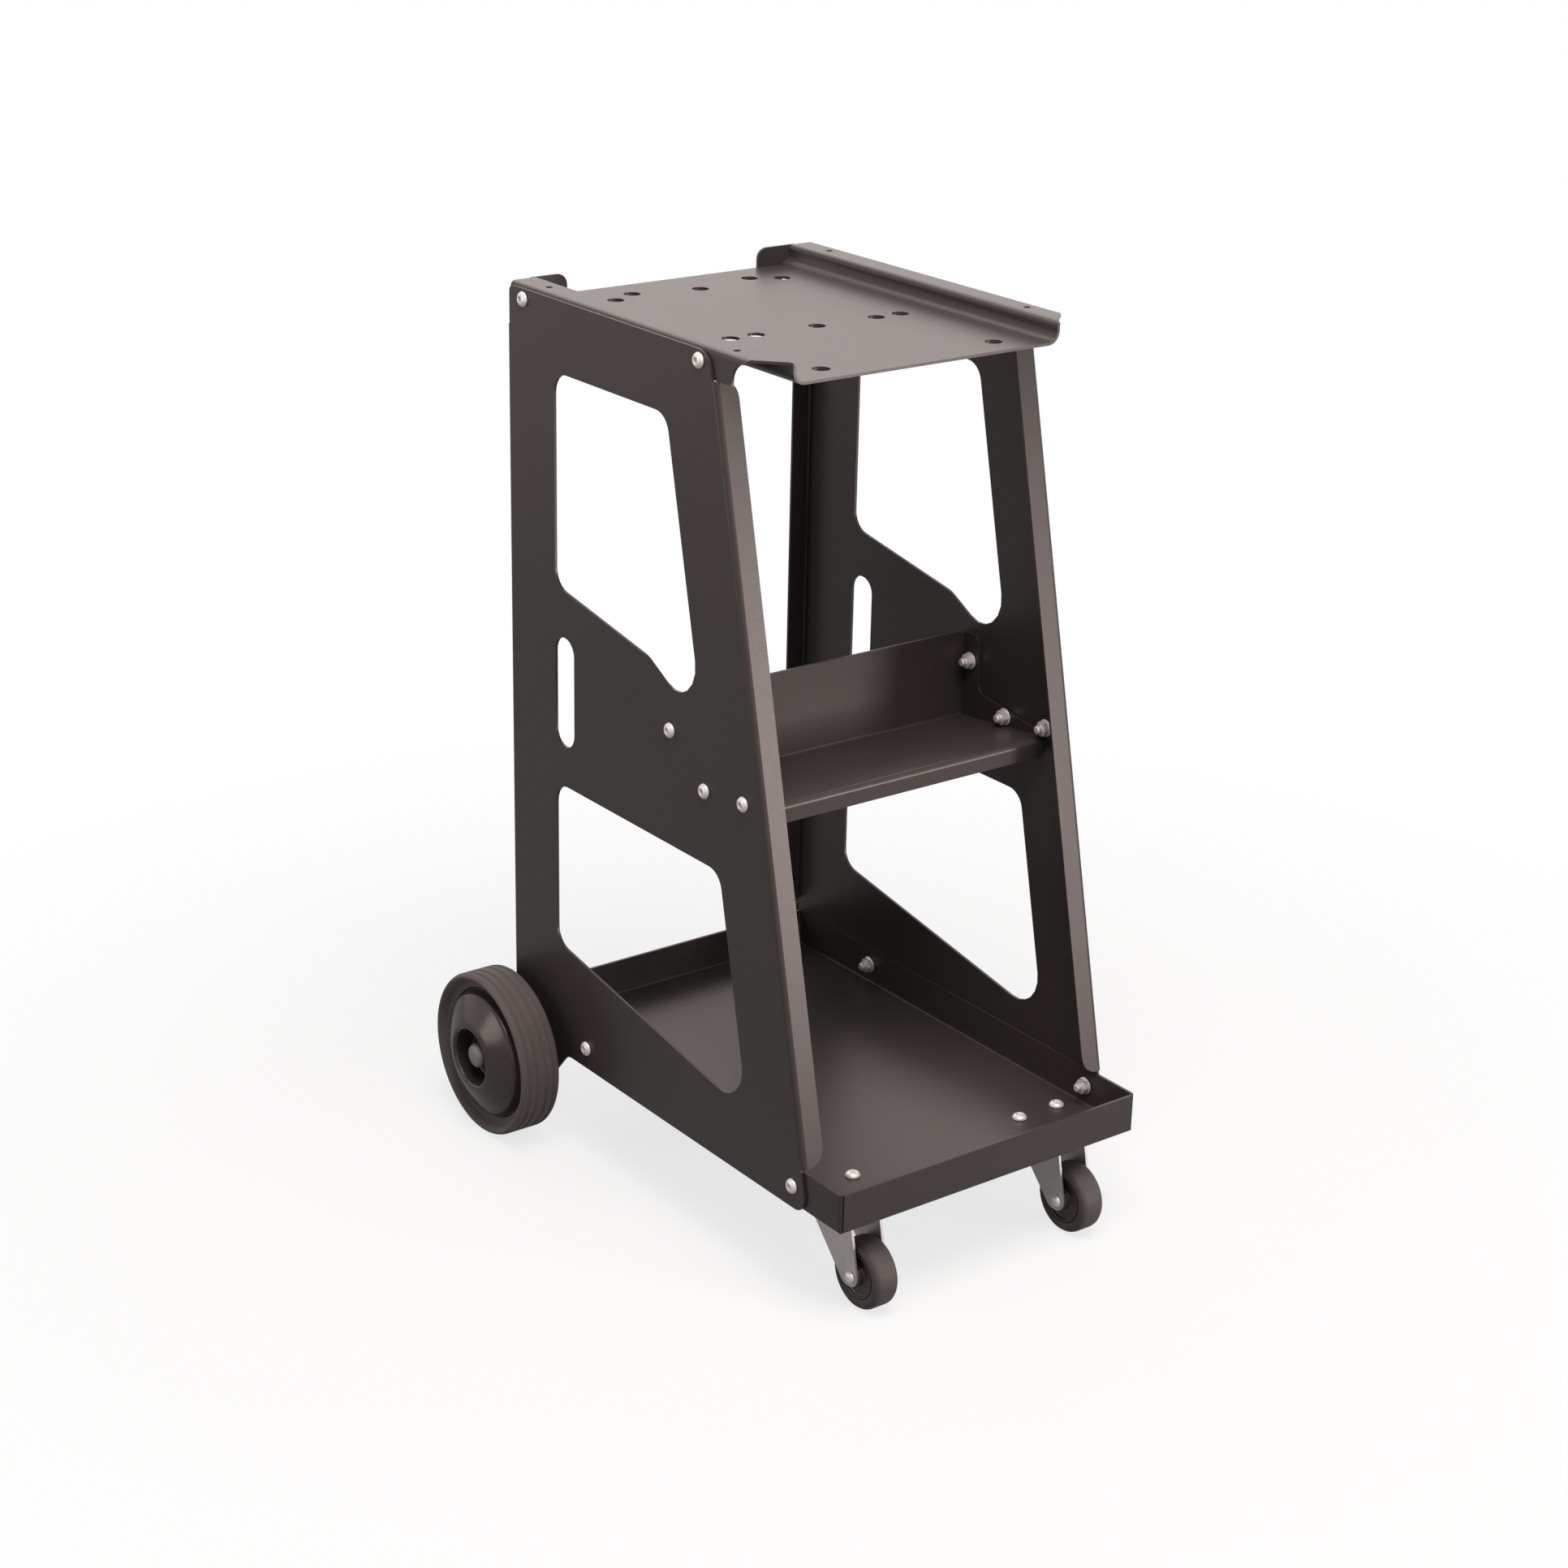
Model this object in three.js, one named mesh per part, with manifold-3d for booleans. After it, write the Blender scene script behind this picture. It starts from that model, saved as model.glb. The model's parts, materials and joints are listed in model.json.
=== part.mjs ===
// A small welding cart of bent sheet steel. Two side panels carry a top shelf for the machine,
// a middle shelf and a bottom tray. It rolls on two large rear wheels and two front swivel casters.
// Millimetres, +X to the right, +Y to the rear, +Z up. The origin is on the floor under the middle.
import * as THREE from 'three';
import { mergeVertices } from 'three/addons/utils/BufferGeometryUtils.js';
import Module from 'manifold-3d';

// Shared sizes
const sheet = 2; // thickness of all bent steel
const gap = 0.3; // clearance between neighbouring pieces
const bend = 3.5; // outer radius of the bends in the sheet
const overrun = 1; // how far a cutting body runs past the faces it cuts

// Wheels and axle, which set the height of the frame
const rearWheelRadius = 62.5;
const rearWheelWidth = 34;
const tyreBore = 47;
const tyreShoulder = 6;
const tyreBead = 4; // height of the slant between the rim and the tyre's side
const treadGroove = 1;
const treadGrooveSpacing = 12;
const axleRadius = 6;
const axleToTray = 4.8;
const spacerLength = 9.4;
const spacerRadius = 10;
const bushWall = 2.4;
const hubRecessRadius = 21.5;
const hubRecessDepth = 10;
const hubBossWall = 13;
const hubWebSetback = 7; // of the web from the hub's inner face
const hubDomeRise = 7; // how far the dome stands out of the tyre's side
const hubDomeBelowRim = 4; // the dome's foot, inside the rim
const hubDomeEdge = 1.5;
const rimThickness = 3;
const rimInset = 2; // of the rim's edges from the tyre's sides
const capRadius = 10;
const capCrownRadius = 7;
const capWall = 3;
const axleStub = 11.5; // how far the axle stands out of the hub's recess floor
const rearWheelSides = 32;
const roundSides = 16; // of shafts, their bores and the pan's holes

// Side panels, seen from the side
const panelSpan = 268; // between the panels' outer faces
const panelRear = 181;
const panelHeight = 567;
const panelTopDepth = 245;
const panelBottomDepth = 370;
const panelTopFrontRound = 14;
const panelBottomFrontRound = 10;
const panelTopRearRound = 5;
const panelBelowLip = 2; // of the panel's top edge under the shelf's lip
const flangeWidth = 17.5;
const flangeEndRound = 13;
const rearFlangeUnderShelf = 10;
const frontFlangeAboveTray = 3;
const rearFlangeAboveTray = 8;
const axleFromRear = 17;
const lobeDrop = 24; // of the panel's foot below the axle
const lobeRun = 73; // length of the foot, sloping side included
const lobeSlope = 30;
const lobeRound = 14;

// Openings in the side panels
const windowRearMargin = 60;
const windowFrontMargin = 61;
const windowRound = 15;
const upperTipRound = 23;
const lowerTipRound = 24;
const kinkRound = 30;
const upperWindowBelowTop = 52;
const upperWindowRearSill = 362; // heights of the sills above the panel's foot edge
const upperWindowKinkSill = 342;
const upperWindowFrontSill = 306;
const upperWindowKinkShare = 0.628; // of the sill's length, from its rear end
const lowerWindowTop = 214;
const lowerWindowRearSill = 88;
const lowerWindowFrontSill = 47;
const slotWidth = 24;
const slotBottom = 244;
const slotTop = 326;

// Top shelf
const upstandHeight = 13;
const lipWidth = 21;
const lipFlangeDepth = 20;
const lipFrontOverhang = 56; // from the panels' top front corner to the front of the shelf
const lipChamfer = 23;
const lipFlangeFrontRound = 14;
const panBend = 9;
const leftTabLength = 23.5;
const rightTabLength = 28;
const tabRound = 8;
const panRearFlange = 25; // depth of the pan's turned-down rear edge
const panHoleRadius = 6;
const panHoleRow = 72;
const panHoleInnerRow = 51;
const rearHoleSetback = 32.5; // of the rearmost holes from the rear edge
const rearHoleStep = 11;
const middleHoleFromRear = 180;
const frontHoleFromFront = 22;
const lipHoleRadius = 2.5;
const lipHoleRear = 35;
const lipHoleFront = 46;

// Middle shelf
const middleWallHeight = 64;
const middleFloorHeight = 254; // of the floor at the wall, above the tray's underside
const middleFloorRise = 10.5;
const middleFrontSetback = 23.7; // of the lip behind the panels' front edge
const middleWallFromRear = 195;
const middleLipHeight = 14;
const middleFlange = 17;
const middleFlangeRear = 20; // heights of the end flanges above the floor
const middleFlangeFront = 2.5;
const middleFlangeRound = 8;
const middleTabHalf = 7.5; // of the tab round each end's front bolt

// Bottom tray
const trayWall = 29.5;
const trayRearSetback = 6.6; // behind the panels' rear edge
const trayOverhang = 31; // in front of the panels' lower front corner
const trayCornerRound = 4;
const cornerSlit = 0.8;

// Casters
const casterWheelRadius = 25;
const casterWheelWidth = 20;
const casterTyreBore = 17;
const casterShoulder = 4.5;
const casterFromTraySide = 38.7;
const casterFromTrayFront = 41;
const casterTrail = 22;
const casterPlate = 54;
const casterPlateThickness = 2.5;
const casterBoltSpacing = 35;
const casterPlateRound = 6;
const raceRadius = 17;
const raceHeight = 4.6;
const crownRadius = 19;
const crownThickness = 2.5;
const forkSheet = 2;
const forkClearance = 1.2;
const forkTopFront = 20;
const forkTopRear = 28;
const forkTopEdge = 4;
const forkEndRadius = 8;
const kingpinRadius = 5;
const kingpinHead = 7;
const kingpinHeadHeight = 2.6;
const casterAxleRadius = 3;
const casterAxleHead = 5.5;
const casterAxleHeadHeight = 3;
const casterAxleHeadEdge = 1.8;
const casterAxleEnd = 1;
const casterWheelSides = 24;
const casterRoundSides = 20;
const casterBead = 1.5;
const casterBossWall = 4;
const casterWebSetback = 3;

// Fasteners
const boltRadius = 3;
const boltHeadRadius = 5.5;
const boltHeadHeight = 3.2;
const nutAcrossFlats = 10;
const nutHeight = 5;
const boltEnd = 4;
const thinNutHeight = 3.2;
const thinBoltEnd = 0.6;
const boltSides = 8;
const hexagonSides = 6;
const arcSteps = 3; // straight pieces in each rounded corner
const bendSteps = 2;
const shelfBoltBelowTop = 9.3;
const shelfBoltFromRear = 22;
const shelfBoltFromFront = 13;
const trayBoltHeight = 16.3;
const trayBoltRear = 92.7;
const trayBoltFront = 50;
const wallBoltForward = 8.2;
const wallBoltBelowTop = 20.6;
const floorBoltAboveFloor = 7;
const floorBoltShare = 0.527; // of the middle shelf's depth, from its wall

// Derived places
const panelHalf = panelSpan / 2;
const panelInside = panelHalf - sheet;
const shelfHalf = panelInside - gap;
const axleHeight = rearWheelRadius;
const baseHeight = axleHeight + axleRadius + axleToTray;
const topHeight = baseHeight + panelHeight;
const axleDepth = panelRear - axleFromRear;
const frontTop = panelRear - panelTopDepth;
const frontBottom = panelRear - panelBottomDepth;
const trayRear = panelRear - trayRearSetback;
const trayFront = frontBottom - trayOverhang;
const trayTop = baseHeight + trayWall;
const hubInner = panelHalf + gap + spacerLength + gap;
const hubOuter = hubInner + rearWheelWidth;
const recessFloor = hubOuter - hubRecessDepth;
const casterFromMiddle = shelfHalf - casterFromTraySide;
const casterDepth = trayFront + casterFromTrayFront;
const casterAxleDepth = casterDepth - casterTrail;
const plateTop = baseHeight - gap;
const plateBottom = plateTop - casterPlateThickness;
const raceTop = plateBottom - gap;
const crownTop = raceTop - raceHeight - gap;
const crownBottom = crownTop - crownThickness;
const boltHole = boltRadius + gap;
const shelfFront = frontTop - lipFrontOverhang;
const shelfRear = panelRear;
const panTop = topHeight - upstandHeight;
const upstandFace = shelfHalf - sheet - lipWidth; // inner face of the pan's upstands
const middleWallFace = panelRear - middleWallFromRear;
const middleFloor = baseHeight + middleFloorHeight;
const middleFront = frontEdge(middleFloor + middleFloorRise) + middleFrontSetback;
const middleFloorDepth = middleWallFace - middleFront;

const wasm = await Module();
wasm.setup();

// Axes for outlines: side outlines are drawn in depth and height and run across the cart.
const alongX = new THREE.Matrix4().makeBasis(
  new THREE.Vector3(0, 1, 0), new THREE.Vector3(0, 0, 1), new THREE.Vector3(1, 0, 0));
const alongBack = new THREE.Matrix4().makeBasis(
  new THREE.Vector3(1, 0, 0), new THREE.Vector3(0, 0, 1), new THREE.Vector3(0, -1, 0));
const latheAlongX = new THREE.Matrix4().makeBasis(
  new THREE.Vector3(0, 0, 1), new THREE.Vector3(1, 0, 0), new THREE.Vector3(0, 1, 0));
const latheAlongZ = new THREE.Matrix4().makeBasis(
  new THREE.Vector3(0, 1, 0), new THREE.Vector3(0, 0, 1), new THREE.Vector3(1, 0, 0));

// Closed triangles of a geometry as a solid, turned so that its faces point out.
function solidOf(geometry) {
  const bare = geometry.clone();
  bare.deleteAttribute('normal');
  bare.deleteAttribute('uv');
  const merged = mergeVertices(bare, 1e-4);
  const position = merged.getAttribute('position');
  const triangles = [];
  let volume = 0;
  const corner = [new THREE.Vector3(), new THREE.Vector3(), new THREE.Vector3()];
  for (let i = 0; i < merged.index.count; i += 3) {
    const [a, b, c] = [0, 1, 2].map((step) => merged.index.getX(i + step));
    if (a === b || b === c || c === a) continue;
    triangles.push([a, b, c]);
    [a, b, c].forEach((vertex, step) => corner[step].fromBufferAttribute(position, vertex));
    volume += corner[0].dot(corner[1].clone().cross(corner[2]));
  }
  const turned = volume < 0 ? triangles.map(([a, b, c]) => [a, c, b]) : triangles;
  return new wasm.Manifold(new wasm.Mesh({
    numProp: 3,
    vertProperties: new Float32Array(position.array),
    triVerts: new Uint32Array(turned.flat()),
  }));
}

// A solid's vertices and triangles back as a geometry.
function geometryOf(solid) {
  const mesh = solid.getMesh();
  const geometry = new THREE.BufferGeometry();
  geometry.setAttribute('position', new THREE.BufferAttribute(mesh.vertProperties, 3));
  geometry.setIndex(new THREE.BufferAttribute(mesh.triVerts, 1));
  return geometry;
}

// Outline with rounded corners, each given as [across, up, radius].
function roundedOutline(corners) {
  const shape = new THREE.Shape();
  corners.forEach(([across, up, radius], index) => {
    const here = new THREE.Vector2(across, up);
    const before = corners[(index + corners.length - 1) % corners.length];
    const after = corners[(index + 1) % corners.length];
    const back = new THREE.Vector2(before[0], before[1]).sub(here).normalize();
    const ahead = new THREE.Vector2(after[0], after[1]).sub(here).normalize();
    const half = Math.acos(THREE.MathUtils.clamp(back.dot(ahead), -1, 1)) / 2;
    const move = index === 0 ? 'moveTo' : 'lineTo';
    if (!radius) {
      shape[move](across, up);
      return;
    }
    const start = here.clone().addScaledVector(back, radius / Math.tan(half));
    const end = here.clone().addScaledVector(ahead, radius / Math.tan(half));
    const middle = back.clone().add(ahead).normalize();
    const centre = here.clone().addScaledVector(middle, radius / Math.sin(half));
    shape[move](start.x, start.y);
    const from = Math.atan2(start.y - centre.y, start.x - centre.x);
    const to = Math.atan2(end.y - centre.y, end.x - centre.x);
    shape.absarc(centre.x, centre.y, radius, from, to, back.cross(ahead) > 0);
  });
  shape.closePath();
  return shape;
}

// Round outline whose flats lie at the radius, so that a shaft of that radius fits inside.
function roundOutline(across, up, radius, sides = boltSides) {
  const shape = new THREE.Shape();
  const reach = radius / Math.cos(Math.PI / sides);
  for (let i = 0; i < sides; i += 1) {
    const angle = (2 * Math.PI * (i + 0.5)) / sides;
    shape[i ? 'lineTo' : 'moveTo'](across + reach * Math.cos(angle), up + reach * Math.sin(angle));
  }
  shape.closePath();
  return shape;
}

function extruded(shape, depth, curveSegments) {
  return new THREE.ExtrudeGeometry(shape, { depth, bevelEnabled: false, curveSegments });
}

// Plate between two stations along X, from an outline in depth and height.
function sidePlate(shape, from, to) {
  const plate = extruded(shape, to - from, arcSteps);
  return solidOf(plate.applyMatrix4(alongX).translate(from, 0, 0));
}

// Plate between two stations along Y, from an outline in width and height.
function frontPlate(shape, from, to) {
  const plate = extruded(shape, to - from, arcSteps);
  return solidOf(plate.applyMatrix4(alongBack).translate(0, to, 0));
}

// Plate between two heights, from an outline in width and depth.
function levelPlate(shape, from, to) {
  const plate = extruded(shape, to - from, arcSteps);
  return solidOf(plate.translate(0, 0, from));
}

// Turned piece from [radius, station] points. Its flats lie at the radius where flats is true.
function turned(points, sides, axes, flats = false) {
  const reach = flats ? 1 / Math.cos(Math.PI / sides) : 1;
  const profile = points.map(([radius, station]) => new THREE.Vector2(radius * reach, station));
  return solidOf(new THREE.LatheGeometry(profile, sides, Math.PI / sides).applyMatrix4(axes));
}

// Ring with its bore, between two stations, on the lathe's axis.
function ring(inner, outer, from, to, sides, axes) {
  const body = turned([[0, from], [outer, from], [outer, to], [0, to]], sides, axes);
  const bore = turned([
    [0, from - overrun], [inner, from - overrun], [inner, to + overrun], [0, to + overrun],
  ], sides, axes, true);
  return body.subtract(bore);
}

function mirrored(solid, side) {
  return side > 0 ? solid : solid.mirror([1, 0, 0]);
}

// Depth of the panels' slanted front edge at a height.
function frontEdge(height) {
  return frontBottom + ((frontTop - frontBottom) * (height - baseHeight)) / panelHeight;
}

// Bolt places on each side panel as [depth, height].
const shelfBolts = [
  [panelRear - shelfBoltFromRear, topHeight - shelfBoltBelowTop],
  [frontTop + shelfBoltFromFront, topHeight - shelfBoltBelowTop],
];
const middleSlope = middleFloorRise / middleFloorDepth;
const middleFloorAt = (depth) => middleFloor + middleSlope * (middleWallFace - depth);
const floorBoltDepth = middleWallFace - floorBoltShare * middleFloorDepth;
const middleBolts = [
  [middleWallFace - wallBoltForward, middleFloor + middleWallHeight - wallBoltBelowTop],
  [floorBoltDepth, middleFloorAt(floorBoltDepth) + floorBoltAboveFloor],
  [middleFront, middleFloorAt(middleFront) + floorBoltAboveFloor],
];
const trayBolts = [
  [trayRear - trayBoltRear, baseHeight + trayBoltHeight],
  [trayFront + trayBoltFront, baseHeight + trayBoltHeight],
];

// Flange along a straight edge: a quarter bend and a plate, with its free corners rounded.
// The edge runs up from a start point, and the flange stands inwards from the panel's outer face.
function edgeFlange(start, end, facing) {
  const length = start.distanceTo(end);
  const section = new THREE.Shape();
  section.moveTo(0, 0);
  section.absarc(0, bend, bend, -Math.PI / 2, 0, false);
  section.lineTo(bend, flangeWidth);
  section.lineTo(bend - sheet, flangeWidth);
  section.lineTo(bend - sheet, bend);
  section.absarc(0, bend, bend - sheet, 0, -Math.PI / 2, true);
  section.lineTo(-sheet, sheet);
  section.lineTo(-sheet, 0);
  section.closePath();
  const outline = roundedOutline([
    [-overrun, 0, 0], [flangeWidth, 0, flangeEndRound],
    [flangeWidth, length, flangeEndRound], [-overrun, length, 0],
  ]);
  const strip = solidOf(extruded(section, length, bendSteps));
  const trim = sidePlate(outline, -sheet - overrun, bend + overrun);
  const along = new THREE.Vector3(0, end.x - start.x, end.y - start.y).normalize();
  const outward = new THREE.Vector3(0, along.z, -along.y).multiplyScalar(facing);
  const inward = new THREE.Vector3(-1, 0, 0);
  const place = new THREE.Matrix4().makeBasis(outward, inward, along);
  place.setPosition(panelHalf, start.x - bend * outward.y, start.y - bend * outward.z);
  return solidOf(geometryOf(strip.intersect(trim)).applyMatrix4(place));
}

// Right side panel: a web with two windows and a slot, and flanges along its front and rear edges.
function sidePanel() {
  const setback = bend;
  const footHeight = axleHeight - lobeDrop;
  const webTop = topHeight - panelBelowLip;
  const web = roundedOutline([
    [panelRear - setback, webTop, panelTopRearRound],
    [frontTop + setback, webTop, panelTopFrontRound],
    [frontBottom + setback, baseHeight, panelBottomFrontRound],
    [panelRear - lobeRun, baseHeight, lobeRound],
    [panelRear - lobeRun + lobeSlope, footHeight, lobeRound],
    [panelRear - setback, footHeight, lobeRound / 2],
  ]);
  const rear = panelRear - windowRearMargin;
  const front = (height) => frontEdge(height) + windowFrontMargin;
  const upperTop = topHeight - upperWindowBelowTop;
  const upperFront = baseHeight + upperWindowFrontSill;
  const kink = rear - upperWindowKinkShare * (rear - front(upperFront));
  web.holes.push(roundedOutline([
    [rear, upperTop, windowRound],
    [front(upperTop), upperTop, windowRound],
    [front(upperFront), upperFront, upperTipRound],
    [kink, baseHeight + upperWindowKinkSill, kinkRound],
    [rear, baseHeight + upperWindowRearSill, windowRound],
  ]));
  const lowerTop = baseHeight + lowerWindowTop;
  const lowerFront = baseHeight + lowerWindowFrontSill;
  web.holes.push(roundedOutline([
    [rear, lowerTop, windowRound],
    [front(lowerTop), lowerTop, windowRound],
    [front(lowerFront), lowerFront, lowerTipRound],
    [rear, baseHeight + lowerWindowRearSill, windowRound],
  ]));
  const slotRound = slotWidth / 2 - gap;
  web.holes.push(roundedOutline([
    [rear, baseHeight + slotTop, slotRound],
    [rear - slotWidth, baseHeight + slotTop, slotRound],
    [rear - slotWidth, baseHeight + slotBottom, slotRound],
    [rear, baseHeight + slotBottom, slotRound],
  ]));
  for (const [depth, height] of [...shelfBolts, ...middleBolts, ...trayBolts]) {
    web.holes.push(roundOutline(depth, height, boltHole));
  }
  web.holes.push(roundOutline(axleDepth, axleHeight, axleRadius + gap, roundSides));
  const frontLow = trayTop + frontFlangeAboveTray;
  const frontHigh = topHeight - lipFlangeDepth + overrun;
  const rearLow = trayTop + rearFlangeAboveTray;
  const rearHigh = topHeight - lipFlangeDepth - rearFlangeUnderShelf;
  // The front flange is cut level just under the shelf's flange.
  const frontEnd = topHeight - lipFlangeDepth - gap;
  const frontFlange = edgeFlange(
    new THREE.Vector2(frontEdge(frontLow), frontLow), new THREE.Vector2(frontEdge(frontHigh), frontHigh), -1,
  ).trimByPlane([0, 0, -1], -frontEnd);
  const rearFlange = edgeFlange(
    new THREE.Vector2(panelRear, rearLow), new THREE.Vector2(panelRear, rearHigh), 1);
  return sidePlate(web, panelInside, panelHalf).add(frontFlange).add(rearFlange);
}

// Section of one side of the top shelf, from the middle of the pan out to the bolted flange.
function shelfSection() {
  const outer = shelfHalf;
  const low = panTop - sheet;
  const section = new THREE.Shape();
  section.moveTo(0, low);
  section.lineTo(upstandFace + sheet - panBend, low);
  section.absarc(upstandFace + sheet - panBend, low + panBend, panBend, -Math.PI / 2, 0, false);
  section.lineTo(upstandFace + sheet, topHeight - bend);
  section.absarc(upstandFace + bend, topHeight - bend, bend - sheet, Math.PI, Math.PI / 2, true);
  section.lineTo(outer - bend, topHeight - sheet);
  section.absarc(outer - bend, topHeight - bend, bend - sheet, Math.PI / 2, 0, true);
  section.lineTo(outer - sheet, topHeight - lipFlangeDepth);
  section.lineTo(outer, topHeight - lipFlangeDepth);
  section.absarc(outer - bend, topHeight - bend, bend, 0, Math.PI / 2, false);
  section.absarc(upstandFace + bend, topHeight - bend, bend, Math.PI / 2, Math.PI, false);
  section.lineTo(upstandFace, panTop + panBend - sheet);
  section.absarc(
    upstandFace - panBend + sheet, panTop + panBend - sheet, panBend - sheet, 0, -Math.PI / 2, true);
  section.lineTo(0, panTop);
  section.closePath();
  return section;
}

// Top shelf: a flat pan with upstands, outward lips, flanges bolted inside the panels and rear stop tabs.
function topShelf() {
  const half = frontPlate(shelfSection(), shelfFront, shelfRear);
  const reach = shelfHalf + overrun;
  const lipEnd = upstandFace + sheet;
  // The lip's front end runs off at a slant from the flange to the upstand.
  const slant = new THREE.Shape([
    new THREE.Vector2(lipEnd, shelfFront - overrun),
    new THREE.Vector2(reach, shelfFront - overrun),
    new THREE.Vector2(reach, shelfFront + lipChamfer + (reach - shelfHalf)),
    new THREE.Vector2(lipEnd, shelfFront + lipChamfer - (shelfHalf - lipEnd)),
  ]);
  const slantCut = levelPlate(slant, topHeight - lipFlangeDepth - overrun, topHeight + overrun);
  // The flange's front end rises in a round from its lower edge to the lip.
  const flangeFront = shelfFront + lipChamfer;
  const flangeLow = topHeight - lipFlangeDepth;
  const roundCut = sidePlate(roundedOutline([
    [flangeFront - lipChamfer - overrun, topHeight - bend, 0],
    [flangeFront - lipChamfer - overrun, flangeLow - overrun, 0],
    [flangeFront + lipFlangeFrontRound, flangeLow - overrun, 0],
    [flangeFront + lipFlangeFrontRound, topHeight - bend, lipFlangeFrontRound],
  ]), shelfHalf - bend, reach);
  // The flange and lip stop short of the panel's rear flange, and the pan in front of the tabs.
  const rearLip = levelPlate(new THREE.Shape([
    new THREE.Vector2(lipEnd + bend, shelfRear - sheet),
    new THREE.Vector2(reach, shelfRear - sheet),
    new THREE.Vector2(reach, shelfRear + overrun),
    new THREE.Vector2(lipEnd + bend, shelfRear + overrun),
  ]), flangeLow - overrun, topHeight + overrun);
  const panSide = upstandFace - panBend + sheet;
  const panRear = shelfRear - sheet - gap;
  const panNotch = levelPlate(new THREE.Shape([
    new THREE.Vector2(-overrun, panRear - bend),
    new THREE.Vector2(panSide, panRear - bend),
    new THREE.Vector2(panSide, shelfRear + overrun),
    new THREE.Vector2(-overrun, shelfRear + overrun),
  ]), panTop - sheet - overrun, panTop + overrun);
  let side = half.subtract(slantCut).subtract(roundCut).subtract(rearLip).subtract(panNotch);
  // The pan's rear edge is turned down behind its holes.
  side = side.add(sidePlate(roundedOutline([
    [panRear, panTop, bend],
    [panRear - 2 * bend, panTop, 0],
    [panRear - 2 * bend, panTop - sheet, 0],
    [panRear - sheet, panTop - sheet, bend - sheet],
    [panRear - sheet, panTop - panRearFlange, 0],
    [panRear, panTop - panRearFlange, 0],
  ]), 0, panSide - gap));
  for (const [depth, height] of shelfBolts) {
    const hole = roundOutline(depth, height, boltHole);
    side = side.subtract(sidePlate(hole, shelfHalf - sheet - overrun, reach));
  }
  for (const depth of [shelfRear - lipHoleRear, shelfFront + lipHoleFront]) {
    const hole = roundOutline((lipEnd + shelfHalf) / 2, depth, lipHoleRadius);
    side = side.subtract(levelPlate(hole, topHeight - bend, topHeight + overrun));
  }
  // Each tab reaches from the lip down behind the pan's turned edge.
  const tabLow = panTop - 2 * bend;
  const tab = (length) => frontPlate(roundedOutline([
    [upstandFace + sheet, tabLow, 0],
    [upstandFace + sheet, topHeight - bend, 0],
    [upstandFace + bend, topHeight, 0],
    [upstandFace - length, topHeight, tabRound],
    [upstandFace - length, tabLow, tabRound / 2],
  ]), shelfRear - sheet, shelfRear);
  const right = side.add(tab(rightTabLength));
  const left = side.add(tab(leftTabLength)).mirror([1, 0, 0]);
  let shelf = right.add(left);
  const rearRow = shelfRear - rearHoleSetback;
  const middleRow = shelfRear - middleHoleFromRear;
  const frontRow = shelfFront + frontHoleFromFront;
  const holes = [[0, rearRow - rearHoleStep], [0, middleRow]];
  for (const across of [-1, 1]) {
    holes.push([across * panHoleRow, rearRow - rearHoleStep], [across * panHoleInnerRow, rearRow]);
    holes.push([across * panHoleRow, middleRow], [across * panHoleInnerRow, middleRow]);
    holes.push([across * panHoleRow, frontRow]);
  }
  for (const [across, depth] of holes) {
    const hole = roundOutline(across, depth, panHoleRadius, roundSides);
    shelf = shelf.subtract(levelPlate(hole, panTop - sheet - overrun, panTop + overrun));
  }
  return shelf;
}

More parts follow.
